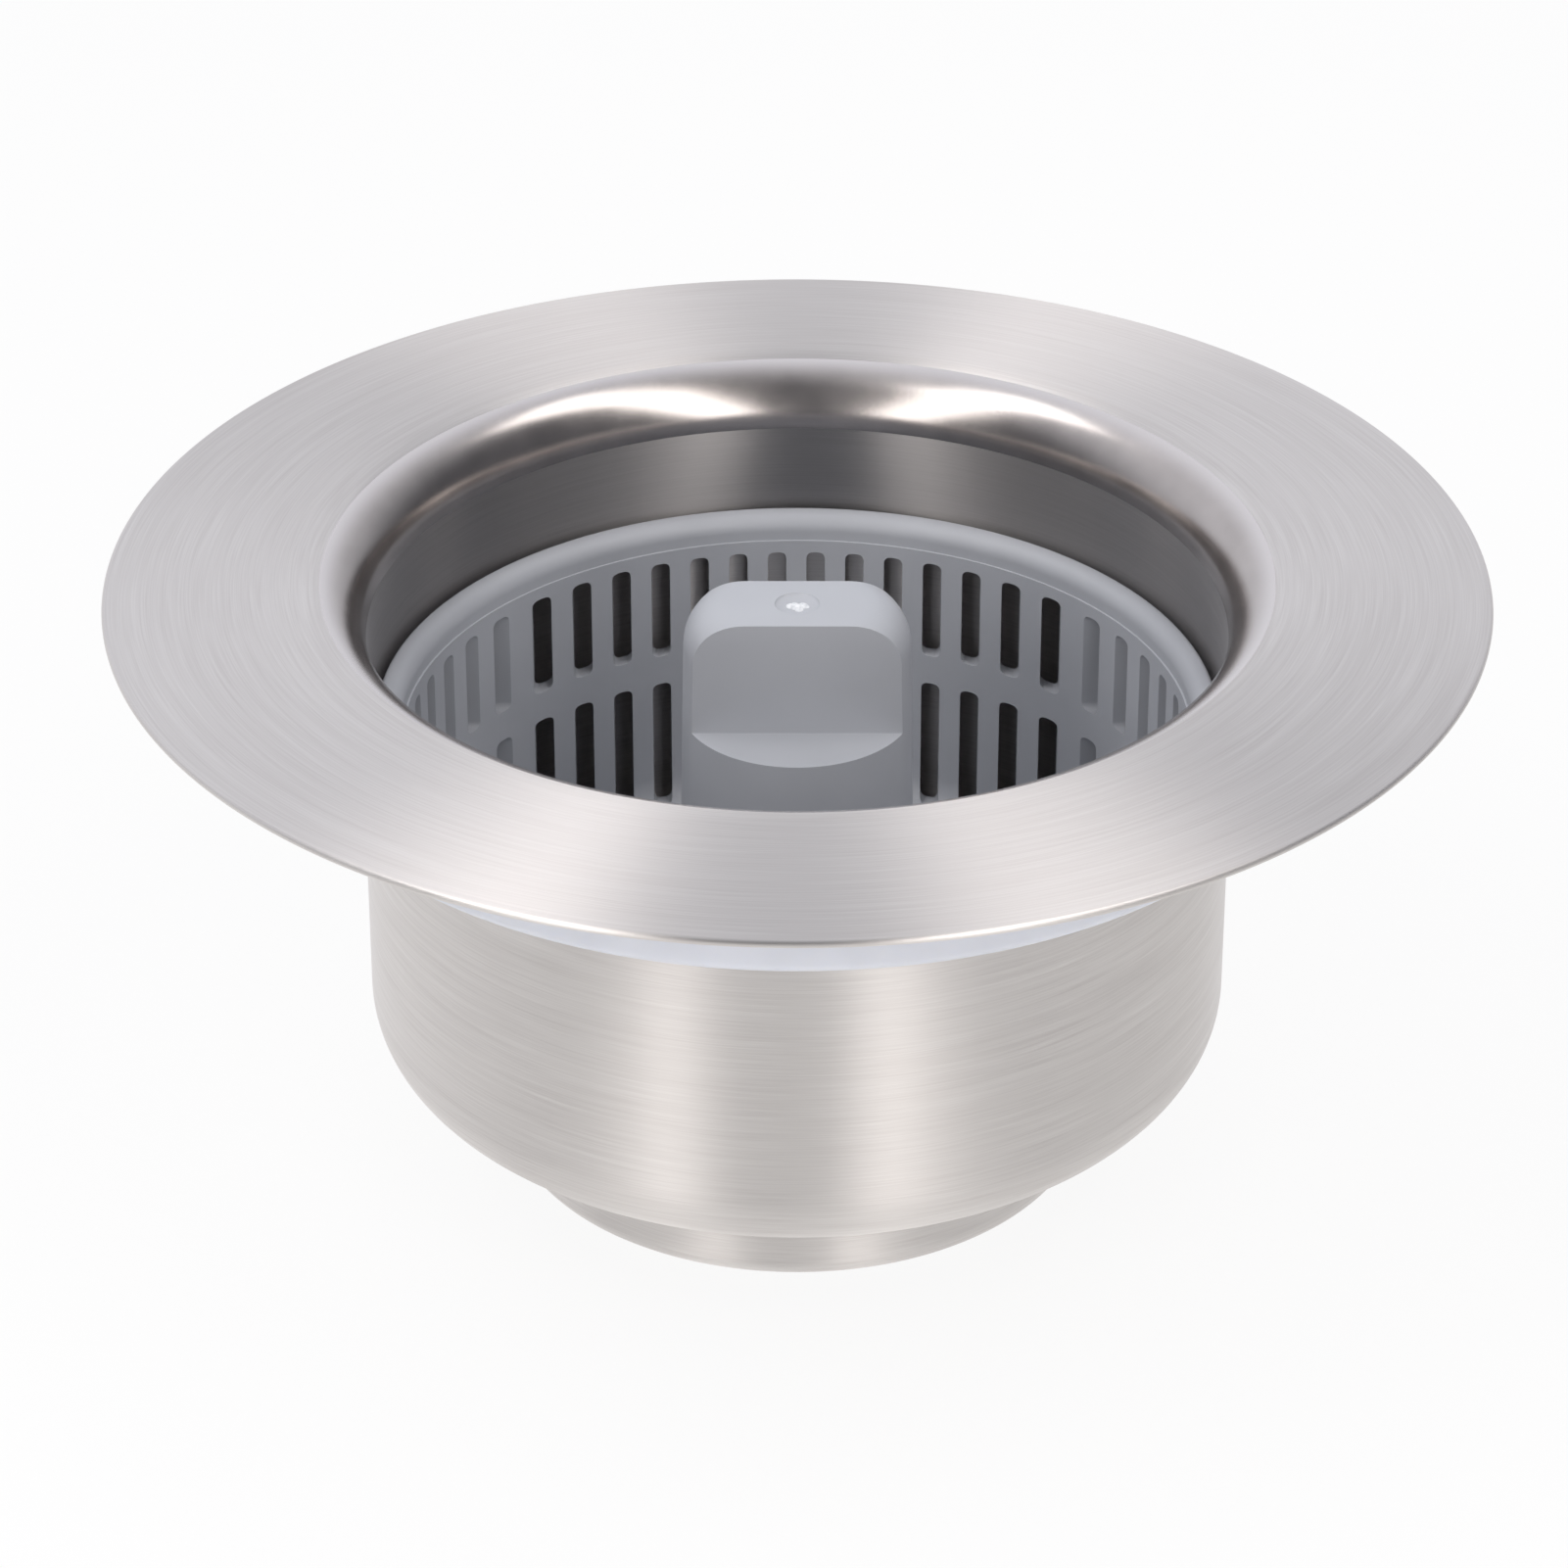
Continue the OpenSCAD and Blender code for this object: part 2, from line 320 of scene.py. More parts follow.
# %% The outline of the basket's wall, floor and foot
RIM_INNER_STEPS = 8
RIM_OUTER_STEPS = 6
SMALL_EDGE_STEPS = 3
BASKET_OUTER_STEPS = 10
BASKET_INNER_STEPS = 8
rim_under_z = RIM_TOP_Z - RIM_H
foot_in_r = FOOT_R - FOOT_W
small_c_z = BASKET_Z + SMALL_EDGE_R
basket_outline = (
    [(wall_in_r, step_z), (rim_in_r, step_z)]
    + arc(rim_in_r + RIM_INNER_R, RIM_TOP_Z - RIM_INNER_R, RIM_INNER_R, 180, 90, RIM_INNER_STEPS)
    + arc(RIM_R - RIM_OUTER_R, RIM_TOP_Z - RIM_OUTER_R, RIM_OUTER_R, 90, 0, RIM_OUTER_STEPS)
    + arc(RIM_R - SMALL_EDGE_R, rim_under_z + SMALL_EDGE_R, SMALL_EDGE_R, 0, -90, SMALL_EDGE_STEPS)
    + [(wall_r, rim_under_z)]
    + arc(basket_c_r, basket_c_z, basket_bend_r, 0, -90, BASKET_OUTER_STEPS)
    + [(FOOT_R, floor_z)]
    + arc(FOOT_R - SMALL_EDGE_R, small_c_z, SMALL_EDGE_R, 0, -90, SMALL_EDGE_STEPS)
    + arc(foot_in_r + SMALL_EDGE_R, small_c_z, SMALL_EDGE_R, -90, -180, SMALL_EDGE_STEPS)
    + [(foot_in_r, floor_z), (SPIGOT_R, floor_z), (SPIGOT_R, floor_top_z)]
    + arc(basket_c_r, basket_c_z, BASKET_CORNER_R, -90, 0, BASKET_INNER_STEPS)
)
print("outline points", len(basket_outline))

# %% [markdown]
# The basket needs many blocks in many places, so a few small tools make, turn, copy and join them.
# Each tool leaves the piece's place in its mesh and its object at the origin.


# %% Small tools for blocks
def block(low, high):
    """A cube with the given corners, in millimetres."""
    deselect_all()
    middle = [(a + b) / 2 * MM for a, b in zip(low, high)]
    bpy.ops.mesh.primitive_cube_add(size=1, location=middle)
    cube = bpy.context.active_object
    cube.scale = [(b - a) * MM for a, b in zip(low, high)]
    bpy.ops.object.transform_apply(location=True, rotation=True, scale=True)
    return cube


def turn(piece, degrees):
    """Turns the piece's mesh about the Z axis and gives the piece back."""
    piece.data.transform(Matrix.Rotation(math.radians(degrees), 4, "Z"))
    return piece


def copy_of(piece):
    """A copy of the piece with a mesh of its own."""
    twin = piece.copy()
    twin.data = piece.data.copy()
    bpy.context.scene.collection.objects.link(twin)
    return twin


def join(pieces):
    """Makes one piece of several, named after the first."""
    make_active(pieces[0])
    for piece in pieces:
        piece.select_set(True)
    bpy.ops.object.join()
    return bpy.context.active_object


print("pieces so far:", bowl.name, seal.name)

# %% [markdown]
# Cutting by hand means putting a block through the piece and applying a Boolean modifier.
# Rounding by hand means selecting the edges and using the bevel tool, so a test picks the edges here.


# %% Small tools for cutting and rounding
def cut(piece, cutter):
    """Takes the cutter's shape out of the piece with an applied Boolean."""
    make_active(piece)
    change = piece.modifiers.new("cut", "BOOLEAN")
    change.operation = "DIFFERENCE"
    change.solver = "EXACT"
    change.object = cutter
    bpy.ops.object.modifier_apply(modifier=change.name)
    bpy.data.objects.remove(cutter)


def bevel_edges(piece, radius, segments, wanted):
    """Rounds the edges that the wanted test picks, given the edge's two ends and its faces' angle."""
    make_active(piece)
    bpy.context.tool_settings.mesh_select_mode = (False, True, False)
    bpy.ops.object.mode_set(mode="EDIT")
    bpy.ops.mesh.select_all(action="DESELECT")
    shape = bmesh.from_edit_mesh(piece.data)
    for edge in shape.edges:
        edge.select_set(wanted(edge.verts[0].co, edge.verts[1].co, edge.calc_face_angle(0)))
    bmesh.update_edit_mesh(piece.data)
    bpy.ops.mesh.bevel(offset=radius * MM, segments=segments, affect="EDGES", clamp_overlap=True)
    bpy.ops.object.mode_set(mode="OBJECT")
    bpy.context.tool_settings.mesh_select_mode = (True, False, False)


print("slot corners will be rounded by", SLOT_CORNER_R, "mm")

# %% [markdown]
# A slot is a bar with softly rounded corners, so its cutter is a block with its four long edges bevelled.
# The cutters of one quarter stand side by side and all point the same way, like the pins of a side core.
# The front quarter is the one cut: it lies between -135 and -45 degrees, counted from X towards Y.


# %% The cutters of one quarter
QUARTER_START = -135.0
QUARTER_MIDDLE = -90.0
QUARTER_END = -45.0
FLOOR_SLOTS = 24
FLOOR_SLOT_W = 1.6
FLOOR_SLOT_IN_R = 16.0
FLOOR_SLOT_OUT_R = 33.3
FLOOR_OVERRUN = 0.6
FOOT_GAPS = 8
FOOT_GAP_W = 7.0
FOOT_OVERRUN = 0.5
OVERRUN = 1.0
SLOT_CORE_SHARE = 2 / 3
SLOT_CORNER_STEPS = 4
ALONG_WITHIN = 0.01


def runs_along_y(first, last, _):
    """Whether an edge runs along Y, given its ends; its angle doesn't matter."""
    return abs(first.x - last.x) + abs(first.z - last.z) < ALONG_WITHIN * MM


def slot_cutter(bottom_z, height):
    """A bar along Y through the wall, at X zero."""
    near_y = -(RIM_R + OVERRUN)
    far_y = -wall_in_r * SLOT_CORE_SHARE
    bar = block((-SLOT_W / 2, near_y, bottom_z), (SLOT_W / 2, far_y, bottom_z + height))
    bevel_edges(bar, SLOT_CORNER_R, SLOT_CORNER_STEPS, runs_along_y)
    return bar


def quarter_cutters(count):
    """All that is cut from one quarter: two rows of slots, the floor's slots and the foot's gaps."""
    cutters = []
    for bar in (slot_cutter(lower_slot_z, LOWER_SLOT_H), slot_cutter(upper_slot_z, UPPER_SLOT_H)):
        for i in range(count):
            twin = copy_of(bar)
            x = (i - (count - 1) / 2) * SLOT_PITCH
            twin.data.transform(Matrix.Translation((x * MM, 0, 0)))
            cutters.append(twin)
        bpy.data.objects.remove(bar)
    for i in range(FLOOR_SLOTS // 4):
        floor_cutter = block(
            (FLOOR_SLOT_IN_R, -FLOOR_SLOT_W / 2, floor_z - OVERRUN),
            (FLOOR_SLOT_OUT_R, FLOOR_SLOT_W / 2, floor_top_z + FLOOR_OVERRUN),
        )
        cutters.append(turn(floor_cutter, QUARTER_START + (i + 0.5) * 360 / FLOOR_SLOTS))
    for i in range(-1, 2):
        foot_cutter = block(
            (foot_in_r - FOOT_OVERRUN, -FOOT_GAP_W / 2, BASKET_Z - OVERRUN),
            (FOOT_R + FOOT_OVERRUN, FOOT_GAP_W / 2, floor_z),
        )
        cutters.append(turn(foot_cutter, QUARTER_MIDDLE + i * 360 / FOOT_GAPS))
    print("cutters in this quarter", len(cutters))
    return join(cutters)


# %% [markdown]
# The ring's outline is spun by a quarter turn only.
# A Boolean needs a closed piece, so the two open sides are filled.
# The front and back quarters have one slot more in a row than the side quarters.

# %% One quarter of the basket, cut
QUARTER_STEPS = 48


def basket_quarter(count):
    """The front quarter of the ring with the given number of slots in each row."""
    quarter = turned_piece(
        "basket_moulding", basket_outline, QUARTER_STEPS, QUARTER_END - QUARTER_START, QUARTER_END
    )
    bpy.ops.object.mode_set(mode="EDIT")
    bpy.ops.mesh.select_all(action="DESELECT")
    bpy.ops.mesh.select_non_manifold(extend=False)
    bpy.ops.mesh.fill_holes(sides=0)
    bpy.ops.object.mode_set(mode="OBJECT")
    cut(quarter, quarter_cutters(count))
    report(quarter)
    return quarter


front_quarter = basket_quarter(FRONT_SLOTS)
side_quarter = basket_quarter(SIDE_SLOTS)

# %% [markdown]
# The quarter's two closing faces have done their work, so they are deleted.
# Two quarters of each kind then make the ring whole, and merging the doubles welds them.

# %% Helpers for welding the quarters
WELD_DISTANCE = 0.003
FLAT_WITHIN = 0.001


def delete_side_faces(piece, angles):
    """Deletes the flat faces that close a spun sector at the given angles."""
    for face in piece.data.polygons:
        face.select = False
        corners = [piece.data.vertices[i].co for i in face.vertices]
        for angle in angles:
            a = math.radians(angle)
            offsets = [abs(c.x * math.sin(a) - c.y * math.cos(a)) for c in corners]
            if max(offsets) < FLAT_WITHIN * MM:
                face.select = True
    make_active(piece)
    bpy.context.tool_settings.mesh_select_mode = (False, False, True)
    bpy.ops.object.mode_set(mode="EDIT")
    bpy.ops.mesh.delete(type="FACE")
    bpy.context.tool_settings.mesh_select_mode = (True, False, False)
    bpy.ops.object.mode_set(mode="OBJECT")


def weld(piece):
    """Merges the quarters' shared points and points all faces outwards."""
    make_active(piece)
    bpy.ops.object.mode_set(mode="EDIT")
    bpy.ops.mesh.select_all(action="SELECT")
    bpy.ops.mesh.remove_doubles(threshold=WELD_DISTANCE * MM)
    bpy.ops.mesh.normals_make_consistent(inside=False)
    bpy.ops.object.mode_set(mode="OBJECT")


print("quarters are welded within", WELD_DISTANCE, "mm")

# %% [markdown]
# A narrow bevel softens the slots' edges, as polish on a mould does.
# The wall is cut into odd shapes by then, so Weighted Normal lets the large faces set the shading.

# %% The whole basket from four quarters
EDGE_SOFTNESS = 0.12
SOFTENED_FROM_ANGLE = 40.0
BASKET_SHARP_ANGLE = 50.0


def add_bevel(piece, width, segments, angle):
    """Softens all the edges that are bent by more than the angle, with an applied Bevel."""
    make_active(piece)
    change = piece.modifiers.new("edges", "BEVEL")
    change.width = width * MM
    change.segments = segments
    change.limit_method = "ANGLE"
    change.angle_limit = math.radians(angle)
    change.use_clamp_overlap = True
    bpy.ops.object.modifier_apply(modifier=change.name)


def weigh_normals(piece):
    """Lets large faces set the shading of the smooth stretches, and keeps the sharp edges."""
    make_active(piece)
    change = piece.modifiers.new("weights", "WEIGHTED_NORMAL")
    change.keep_sharp = True
    bpy.ops.object.modifier_apply(modifier=change.name)


quarters = []
for quarter, first_turn in ((front_quarter, 0), (side_quarter, 90)):
    delete_side_faces(quarter, (QUARTER_START, QUARTER_END))
    quarters.append(turn(copy_of(quarter), first_turn + 180))
    quarters.append(turn(quarter, first_turn))
basket = join(quarters)
basket.name = "slotted_basket"
weld(basket)
add_bevel(basket, EDGE_SOFTNESS, 1, SOFTENED_FROM_ANGLE)
smooth(basket, BASKET_SHARP_ANGLE)
weigh_normals(basket)
report(basket)

# %% [markdown]
# The grip post is a slight cone with a rounded top, and two flats for a finger and a thumb.
# A ledge under each flat keeps the fingers from slipping, and a spigot below seats it in the floor.

# %% Sizes of the grip post
_, post_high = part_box("grip_post")
POST_BASE_R = post_high.x / MM
POST_TOP_Z = post_high.z / MM
POST_DRAFT = 1.6
POST_TOP_R = 4.5
POST_WALL_T = 1.8
GRIP_T = 9.6
GRIP_H = 12.4
GRIP_EDGE_R = 0.9
GRIP_EDGE_STEPS = 5
POST_TURN_STEPS = 128
POST_CORNER_STEPS = 12
CUT_OVERRUN = 2.0
CLEAR_ABOVE = 1.0
SHARP_GRIP_ANGLE = 30.0
ledge_z = POST_TOP_Z - GRIP_H
print("post height", round(POST_TOP_Z - floor_top_z, 2), "ledges at", round(ledge_z, 2))

# %% [markdown]
# The post is hollow, as thick plastic would sink while it cools.
# Its outside and its hollow are made the same way: a turned shape with two blocks cut off for the flats.
# Then the hollow is taken out of the outside, which leaves a wall of even thickness.


# %% The grip post
def post_shape(name, base_r, spigot, top_z, corner_r, grip_t, grip_z):
    """A slight cone with a rounded top and two flats, on a spigot given by its radius and lower end."""
    spigot_r, bottom_z = spigot
    top_r = base_r - POST_DRAFT / 2
    outline = (
        [(0.0, bottom_z), (spigot_r, bottom_z), (spigot_r, floor_top_z), (base_r, floor_top_z)]
        + arc(top_r - corner_r, top_z - corner_r, corner_r, 0, 90, POST_CORNER_STEPS)
        + [(0.0, top_z)]
    )
    piece = turned_piece(name, outline, POST_TURN_STEPS)
    far = base_r + CUT_OVERRUN
    for side in (-1, 1):
        near_y, far_y = sorted((side * grip_t / 2, side * far))
        cut(piece, block((-far, near_y, grip_z), (far, far_y, top_z + CUT_OVERRUN)))
    return piece


def sharp_above_floor(first, last, angle):
    """Whether an edge of the post is sharp and lies clear above the basket's floor."""
    low_end = min(first.z, last.z) / MM
    return low_end > floor_top_z + CLEAR_ABOVE and angle > math.radians(SHARP_GRIP_ANGLE)


post = post_shape(
    "pinch_grip_post", POST_BASE_R, (SPIGOT_R, floor_z), POST_TOP_Z, POST_TOP_R, GRIP_T, ledge_z
)
bevel_edges(post, GRIP_EDGE_R, GRIP_EDGE_STEPS, sharp_above_floor)
core = post_shape(
    "core",
    POST_BASE_R - POST_WALL_T,
    (SPIGOT_R - POST_WALL_T, floor_z - OVERRUN),
    POST_TOP_Z - POST_WALL_T,
    POST_TOP_R - POST_WALL_T,
    GRIP_T - 2 * POST_WALL_T,
    ledge_z - POST_WALL_T,
)
cut(post, core)
report(post)

# %% [markdown]
# The plastic came in through the top of the post and left a rough little mark there.
# The mark sits in a dimple, so that nobody feels it.
# A flattened ball cuts the dimple, and a few small flattened balls together make the mark.

# %% The dimple and the moulding mark
DIMPLE_R = 2.3
DIMPLE_DEPTH = 0.5
MARK_R = 0.65
LUMP_SHARES = (
    (0.0, 0.0, 1.0),
    (0.9, 0.4, 0.9),
    (-1.0, 0.3, 0.8),
    (0.3, -0.8, 0.7),
    (-0.4, 0.9, 0.6),
    (1.5, 0.1, 0.5),
)
LUMP_FLATNESS = 0.55
BALL_TURN_STEPS = 32
BALL_RISE_STEPS = 16
POST_SHARP_ANGLE = 40.0
MARK_SHARP_ANGLE = 60.0


def ball(x, y, z, radius, flatness):
    """A ball, squashed to the given share of its height, with its size in its mesh."""
    deselect_all()
    bpy.ops.mesh.primitive_uv_sphere_add(
        segments=BALL_TURN_STEPS,
        ring_count=BALL_RISE_STEPS,
        radius=radius * MM,
        location=(x * MM, y * MM, z * MM),
    )
    piece = bpy.context.active_object
    piece.scale = (1, 1, flatness)
    bpy.ops.object.transform_apply(location=True, rotation=True, scale=True)
    return piece


cut(post, ball(0, 0, POST_TOP_Z, DIMPLE_R, DIMPLE_DEPTH / DIMPLE_R))
lumps = []
for x, y, share in LUMP_SHARES:
    lump_z = POST_TOP_Z - DIMPLE_DEPTH
    lumps.append(ball(x * MARK_R, y * MARK_R, lump_z, MARK_R * share, LUMP_FLATNESS))
mark = join(lumps)
mark.name = "moulding_mark"
smooth(post, POST_SHARP_ANGLE)
smooth(mark, MARK_SHARP_ANGLE)
report(mark)

# %% [markdown]
# Materials come next. Colours are written as a colour picker shows them.
# One function turns them to linear light, which is what the renderer counts in.
# One more function adds a node with its settings and links, so each finish below stays short.
# Noise is mostly between 0.3 and 0.7, so colours and roughness are spread over that range.


# %% Helpers for materials
NOISE_LOW = 0.3
NOISE_HIGH = 0.7


def linear(hex_colour):
    """An sRGB hex colour as linear red, green, blue and alpha."""
    channels = [int(hex_colour[i : i + 2], 16) / 255 for i in (1, 3, 5)]
    return [c / 12.92 if c <= 0.04045 else ((c + 0.055) / 1.055) ** 2.4 for c in channels] + [1.0]


def add_node(tree, kind, settings=(), inputs=(), links=(), stops=()):
    """Adds a node: its own settings, its sockets' values, its sources and a ramp's colour stops."""
    node = tree.nodes.new(kind)
    for key, value in dict(settings).items():
        setattr(node, key, value)
    for key, value in dict(inputs).items():
        node.inputs[key].default_value = value
    for key, source in dict(links).items():
        tree.links.new(source, node.inputs[key])
    for i, (position, colour) in enumerate(stops):
        node.color_ramp.elements[i].position = position
        node.color_ramp.elements[i].color = linear(colour)
    return node


def new_finish(name, colour, roughness, metallic=0.0):
    """A material with its surface shader, ready for more nodes."""
    material = bpy.data.materials.new(name)
    material.use_nodes = True
    tree = material.node_tree
    shader = tree.nodes["Principled BSDF"]
    shader.inputs["Base Color"].default_value = linear(colour)
    shader.inputs["Roughness"].default_value = roughness
    shader.inputs["Metallic"].default_value = metallic
    return material, tree, shader


def place_round_axis(tree):
    """The shaded point as a vector in the flat of the ring, its distance from the axis and its height."""
    place = add_node(tree, "ShaderNodeTexCoord").outputs["Object"]
    parts = add_node(tree, "ShaderNodeSeparateXYZ", links={0: place})
    flat = add_node(
        tree, "ShaderNodeCombineXYZ", links={0: parts.outputs["X"], 1: parts.outputs["Y"]}
    ).outputs[0]
    radius = add_node(
        tree, "ShaderNodeVectorMath", {"operation": "LENGTH"}, links={0: flat}
    ).outputs["Value"]
    return flat, radius, parts.outputs["Z"]


print("white is", linear("#ffffff"))

# %% [markdown]
# Brushed stainless is 304 sheet, scrubbed with a belt of about 180 grit while the part turns.
# Each scratch is a thin arc, so light smears across the scratches and stays crisp along them.
# The scratches are noise on three numbers: two for the direction round the axis and one for the way down.
# The direction changes slowly and the distance fast, so each speck of noise is drawn out into an arc.
# Real scratches are some hundredths of a millimetre wide; here they are about 0.16 mm, so that they show.

# %% Noise that runs in arcs round the axis
SCRATCH_WIDTH = 0.16
BAND_WIDTH = 0.6
SCRATCH_ARCS = 4.0
BAND_ARCS = 2.0


def ring_noise(tree, width, arcs):
    """Noise on Object coordinates bent round the axis: slow round the ring, fast across it."""
    flat, radius, height = place_round_axis(tree)
    round_way = add_node(
        tree, "ShaderNodeVectorMath", {"operation": "NORMALIZE"}, links={0: flat}
    ).outputs[0]
    arc_part = add_node(
        tree, "ShaderNodeVectorMath", {"operation": "SCALE"}, {"Scale": arcs}, {0: round_way}
    ).outputs[0]
    down = add_node(
        tree, "ShaderNodeMath", {"operation": "SUBTRACT"}, links={0: radius, 1: height}
    ).outputs[0]
    fine = add_node(
        tree, "ShaderNodeMath", {"operation": "MULTIPLY"}, {1: 1 / (width * MM)}, {0: down}
    ).outputs[0]
    across = add_node(tree, "ShaderNodeCombineXYZ", links={2: fine}).outputs[0]
    where = add_node(
        tree, "ShaderNodeVectorMath", {"operation": "ADD"}, links={0: arc_part, 1: across}
    ).outputs[0]
    return add_node(
        tree,
        "ShaderNodeTexNoise",
        inputs={"Scale": 1.0, "Detail": 2.0, "Roughness": 0.6},
        links={"Vector": where},
    ).outputs["Fac"]


print("scratch width mm", SCRATCH_WIDTH, "band width mm", BAND_WIDTH)

# %% [markdown]
# The bowl is brushed on both sides, and the upper part of its bore gets darker colours than the outside:
# painted shade of the deep cup.
# So one function makes both finishes, and only the colours and the middle roughness differ.
# Noise moves the roughness a little to both sides of its middle, as no belt cuts evenly.

# %% The brushed stainless finishes
BAND_SHARE = 0.3
ROUGHNESS_SPREAD = 0.03
SCRATCH_DEPTH = 0.004


def brushed_steel(name, dull, bright, roughness):
    """Steel brushed in rings: colours for dull and bright scratches, and its middle roughness."""
    material, tree, shader = new_finish(name, bright, roughness, metallic=1.0)
    shader.inputs["Anisotropic"].default_value = 0.95
    shader.inputs["Anisotropic Rotation"].default_value = 0.25
    scratches = ring_noise(tree, SCRATCH_WIDTH, SCRATCH_ARCS)
    bands = ring_noise(tree, BAND_WIDTH, BAND_ARCS)
    brushing = add_node(
        tree, "ShaderNodeMix", {"data_type": "FLOAT"}, {0: BAND_SHARE}, {2: scratches, 3: bands}
    ).outputs[0]
    colour = add_node(
        tree, "ShaderNodeValToRGB", links={"Fac": brushing}, stops=((NOISE_LOW, dull), (NOISE_HIGH, bright))
    )
    rough = add_node(
        tree,
        "ShaderNodeMapRange",
        inputs={
            "From Min": NOISE_LOW,
            "From Max": NOISE_HIGH,
            "To Min": roughness + ROUGHNESS_SPREAD,
            "To Max": roughness - ROUGHNESS_SPREAD,
        },
        links={"Value": brushing},
    )
    bump = add_node(
        tree,
        "ShaderNodeBump",
        inputs={"Strength": 0.4, "Distance": SCRATCH_DEPTH * MM},
        links={"Height": scratches},
    )
    ring_way = add_node(tree, "ShaderNodeTangent", {"direction_type": "RADIAL", "axis": "Z"})
    tree.links.new(colour.outputs["Color"], shader.inputs["Base Color"])
    tree.links.new(rough.outputs["Result"], shader.inputs["Roughness"])
    tree.links.new(bump.outputs["Normal"], shader.inputs["Normal"])
    tree.links.new(ring_way.outputs["Tangent"], shader.inputs["Tangent"])
    print(name, "colours", dull, bright, "roughness", roughness)
    return material


bowl.data.materials.append(brushed_steel("brushed_stainless", "#d7d2cf", "#e3dfdc", 0.4))
# The bore's darker colours are painted shade of the dim, deep cup.
bowl.data.materials.append(brushed_steel("bore_stainless_painted_shade", "#a7a4a3", "#b1aead", 0.38))

# %% [markdown]
# No belt reaches round the mouth, so the bend keeps the dull skin that the drawing die left on it.
# It is the same steel, but its roughness has no direction and a fine grain shows in its highlights.
# The belt still touches the bend's upper end, so the colour fades from brushed to dull over a short way.

# %% The satin finish of the mouth
SATIN_FROM = 18.0
SKIN_FROM = 42.0
SKIN_GRAIN = 0.35
SKIN_CLOUD = 6.0
SKIN_DEPTH = 0.006


def bend_radius(angle):
    """Distance from the axis to the bend's top side, at an angle counted from the flat of the flange."""
    return mouth_c_r - MOUTH_R * math.sin(math.radians(angle))


satin_finish, tree, shader = new_finish("drawn_satin_stainless", "#bab4b1", 0.23, metallic=1.0)
place = add_node(tree, "ShaderNodeTexCoord").outputs["Object"]
_, radius, _ = place_round_axis(tree)
grain = add_node(
    tree,
    "ShaderNodeTexNoise",
    inputs={"Scale": 1 / (SKIN_GRAIN * MM), "Detail": 2.0},
    links={"Vector": place},
).outputs["Fac"]
cloud = add_node(
    tree,
    "ShaderNodeTexNoise",
    inputs={"Scale": 1 / (SKIN_CLOUD * MM), "Detail": 3.0},
    links={"Vector": place},
).outputs["Fac"]
skin = add_node(
    tree,
    "ShaderNodeValToRGB",
    links={"Fac": cloud},
    stops=((NOISE_LOW, "#b5afac"), (NOISE_HIGH, "#bfb9b6")),
).outputs["Color"]
brush_share = add_node(
    tree,
    "ShaderNodeMapRange",
    {"interpolation_type": "SMOOTHSTEP"},
    {"From Min": bend_radius(SKIN_FROM) * MM, "From Max": bend_radius(SATIN_FROM) * MM},
    {"Value": radius},
).outputs["Result"]
colour = add_node(
    tree, "ShaderNodeMix", {"data_type": "RGBA"}, {7: linear("#dad5d4")}, {0: brush_share, 6: skin}
)
rough = add_node(
    tree,
    "ShaderNodeMapRange",
    inputs={"From Min": NOISE_LOW, "From Max": NOISE_HIGH, "To Min": 0.21, "To Max": 0.25},
    links={"Value": cloud},
)
bump = add_node(
    tree,
    "ShaderNodeBump",
    inputs={"Strength": 0.5, "Distance": SKIN_DEPTH * MM},
    links={"Height": grain},
)
tree.links.new(colour.outputs[2], shader.inputs["Base Color"])
tree.links.new(rough.outputs["Result"], shader.inputs["Roughness"])
tree.links.new(bump.outputs["Normal"], shader.inputs["Normal"])
bowl.data.materials.append(satin_finish)
print(satin_finish.name, "grain mm", SKIN_GRAIN)

# %% [markdown]
# One mesh can carry several finishes: each face has the number of its own in the piece's list.
# The satin faces lie on the bend's top side, between the bore and the flat of the flange.
# The ones with the bore's painted shade lie on the upper bore.

# %% Which faces get which finish
BRUSHED, SHADED_BORE, SATIN = range(3)
BORE_WITHIN = 0.1
counts = [0, 0, 0]
for face in bowl.data.polygons:
    centre_r = math.hypot(face.center.x, face.center.y) / MM
    centre_z = face.center.z / MM
    from_bend = math.hypot(centre_r - mouth_c_r, centre_z - mouth_c_z)
    on_bend = centre_z > mouth_c_z and centre_r < bend_radius(SATIN_FROM)
    # Faces of the upper bore get the painted shade.
    on_bore = SHADE_END_Z < centre_z < mouth_c_z and centre_r < bore_r + BORE_WITHIN
    if on_bend and from_bend > MOUTH_R - half_t:
        face.material_index = SATIN
    elif on_bore:
        face.material_index = SHADED_BORE
    else:
        face.material_index = BRUSHED
    counts[face.material_index] += 1
print("faces brushed, rubbed and satin:", counts)

# %% [markdown]
# The seal is platinum-cured silicone: smooth, slightly clear, a bluish white.
# Light enters it and comes out a little further on, which is what subsurface scattering does.

# %% The silicone finish
SILICONE_CLOUD = 25 / 3
SILICONE_DEPTH = 0.05
silicone_finish, tree, shader = new_finish("clear_white_silicone", "#d9dce3", 0.38)
shader.inputs["Subsurface Weight"].default_value = 0.35
shader.inputs["Subsurface Radius"].default_value = (0.9, 1.0, 1.2)
shader.inputs["Subsurface Scale"].default_value = 2.0 * MM
shader.inputs["IOR"].default_value = 1.41
place = add_node(tree, "ShaderNodeTexCoord").outputs["Object"]
cloud = add_node(
    tree,
    "ShaderNodeTexNoise",
    inputs={"Scale": 1 / (SILICONE_CLOUD * MM), "Detail": 2.0},
    links={"Vector": place},
).outputs["Fac"]
colour = add_node(
    tree,
    "ShaderNodeValToRGB",
    links={"Fac": cloud},
    stops=((NOISE_LOW, "#d5d8df"), (NOISE_HIGH, "#dde0e7")),
)
bump = add_node(
    tree,
    "ShaderNodeBump",
    inputs={"Strength": 0.2, "Distance": SILICONE_DEPTH * MM},
    links={"Height": cloud},
)
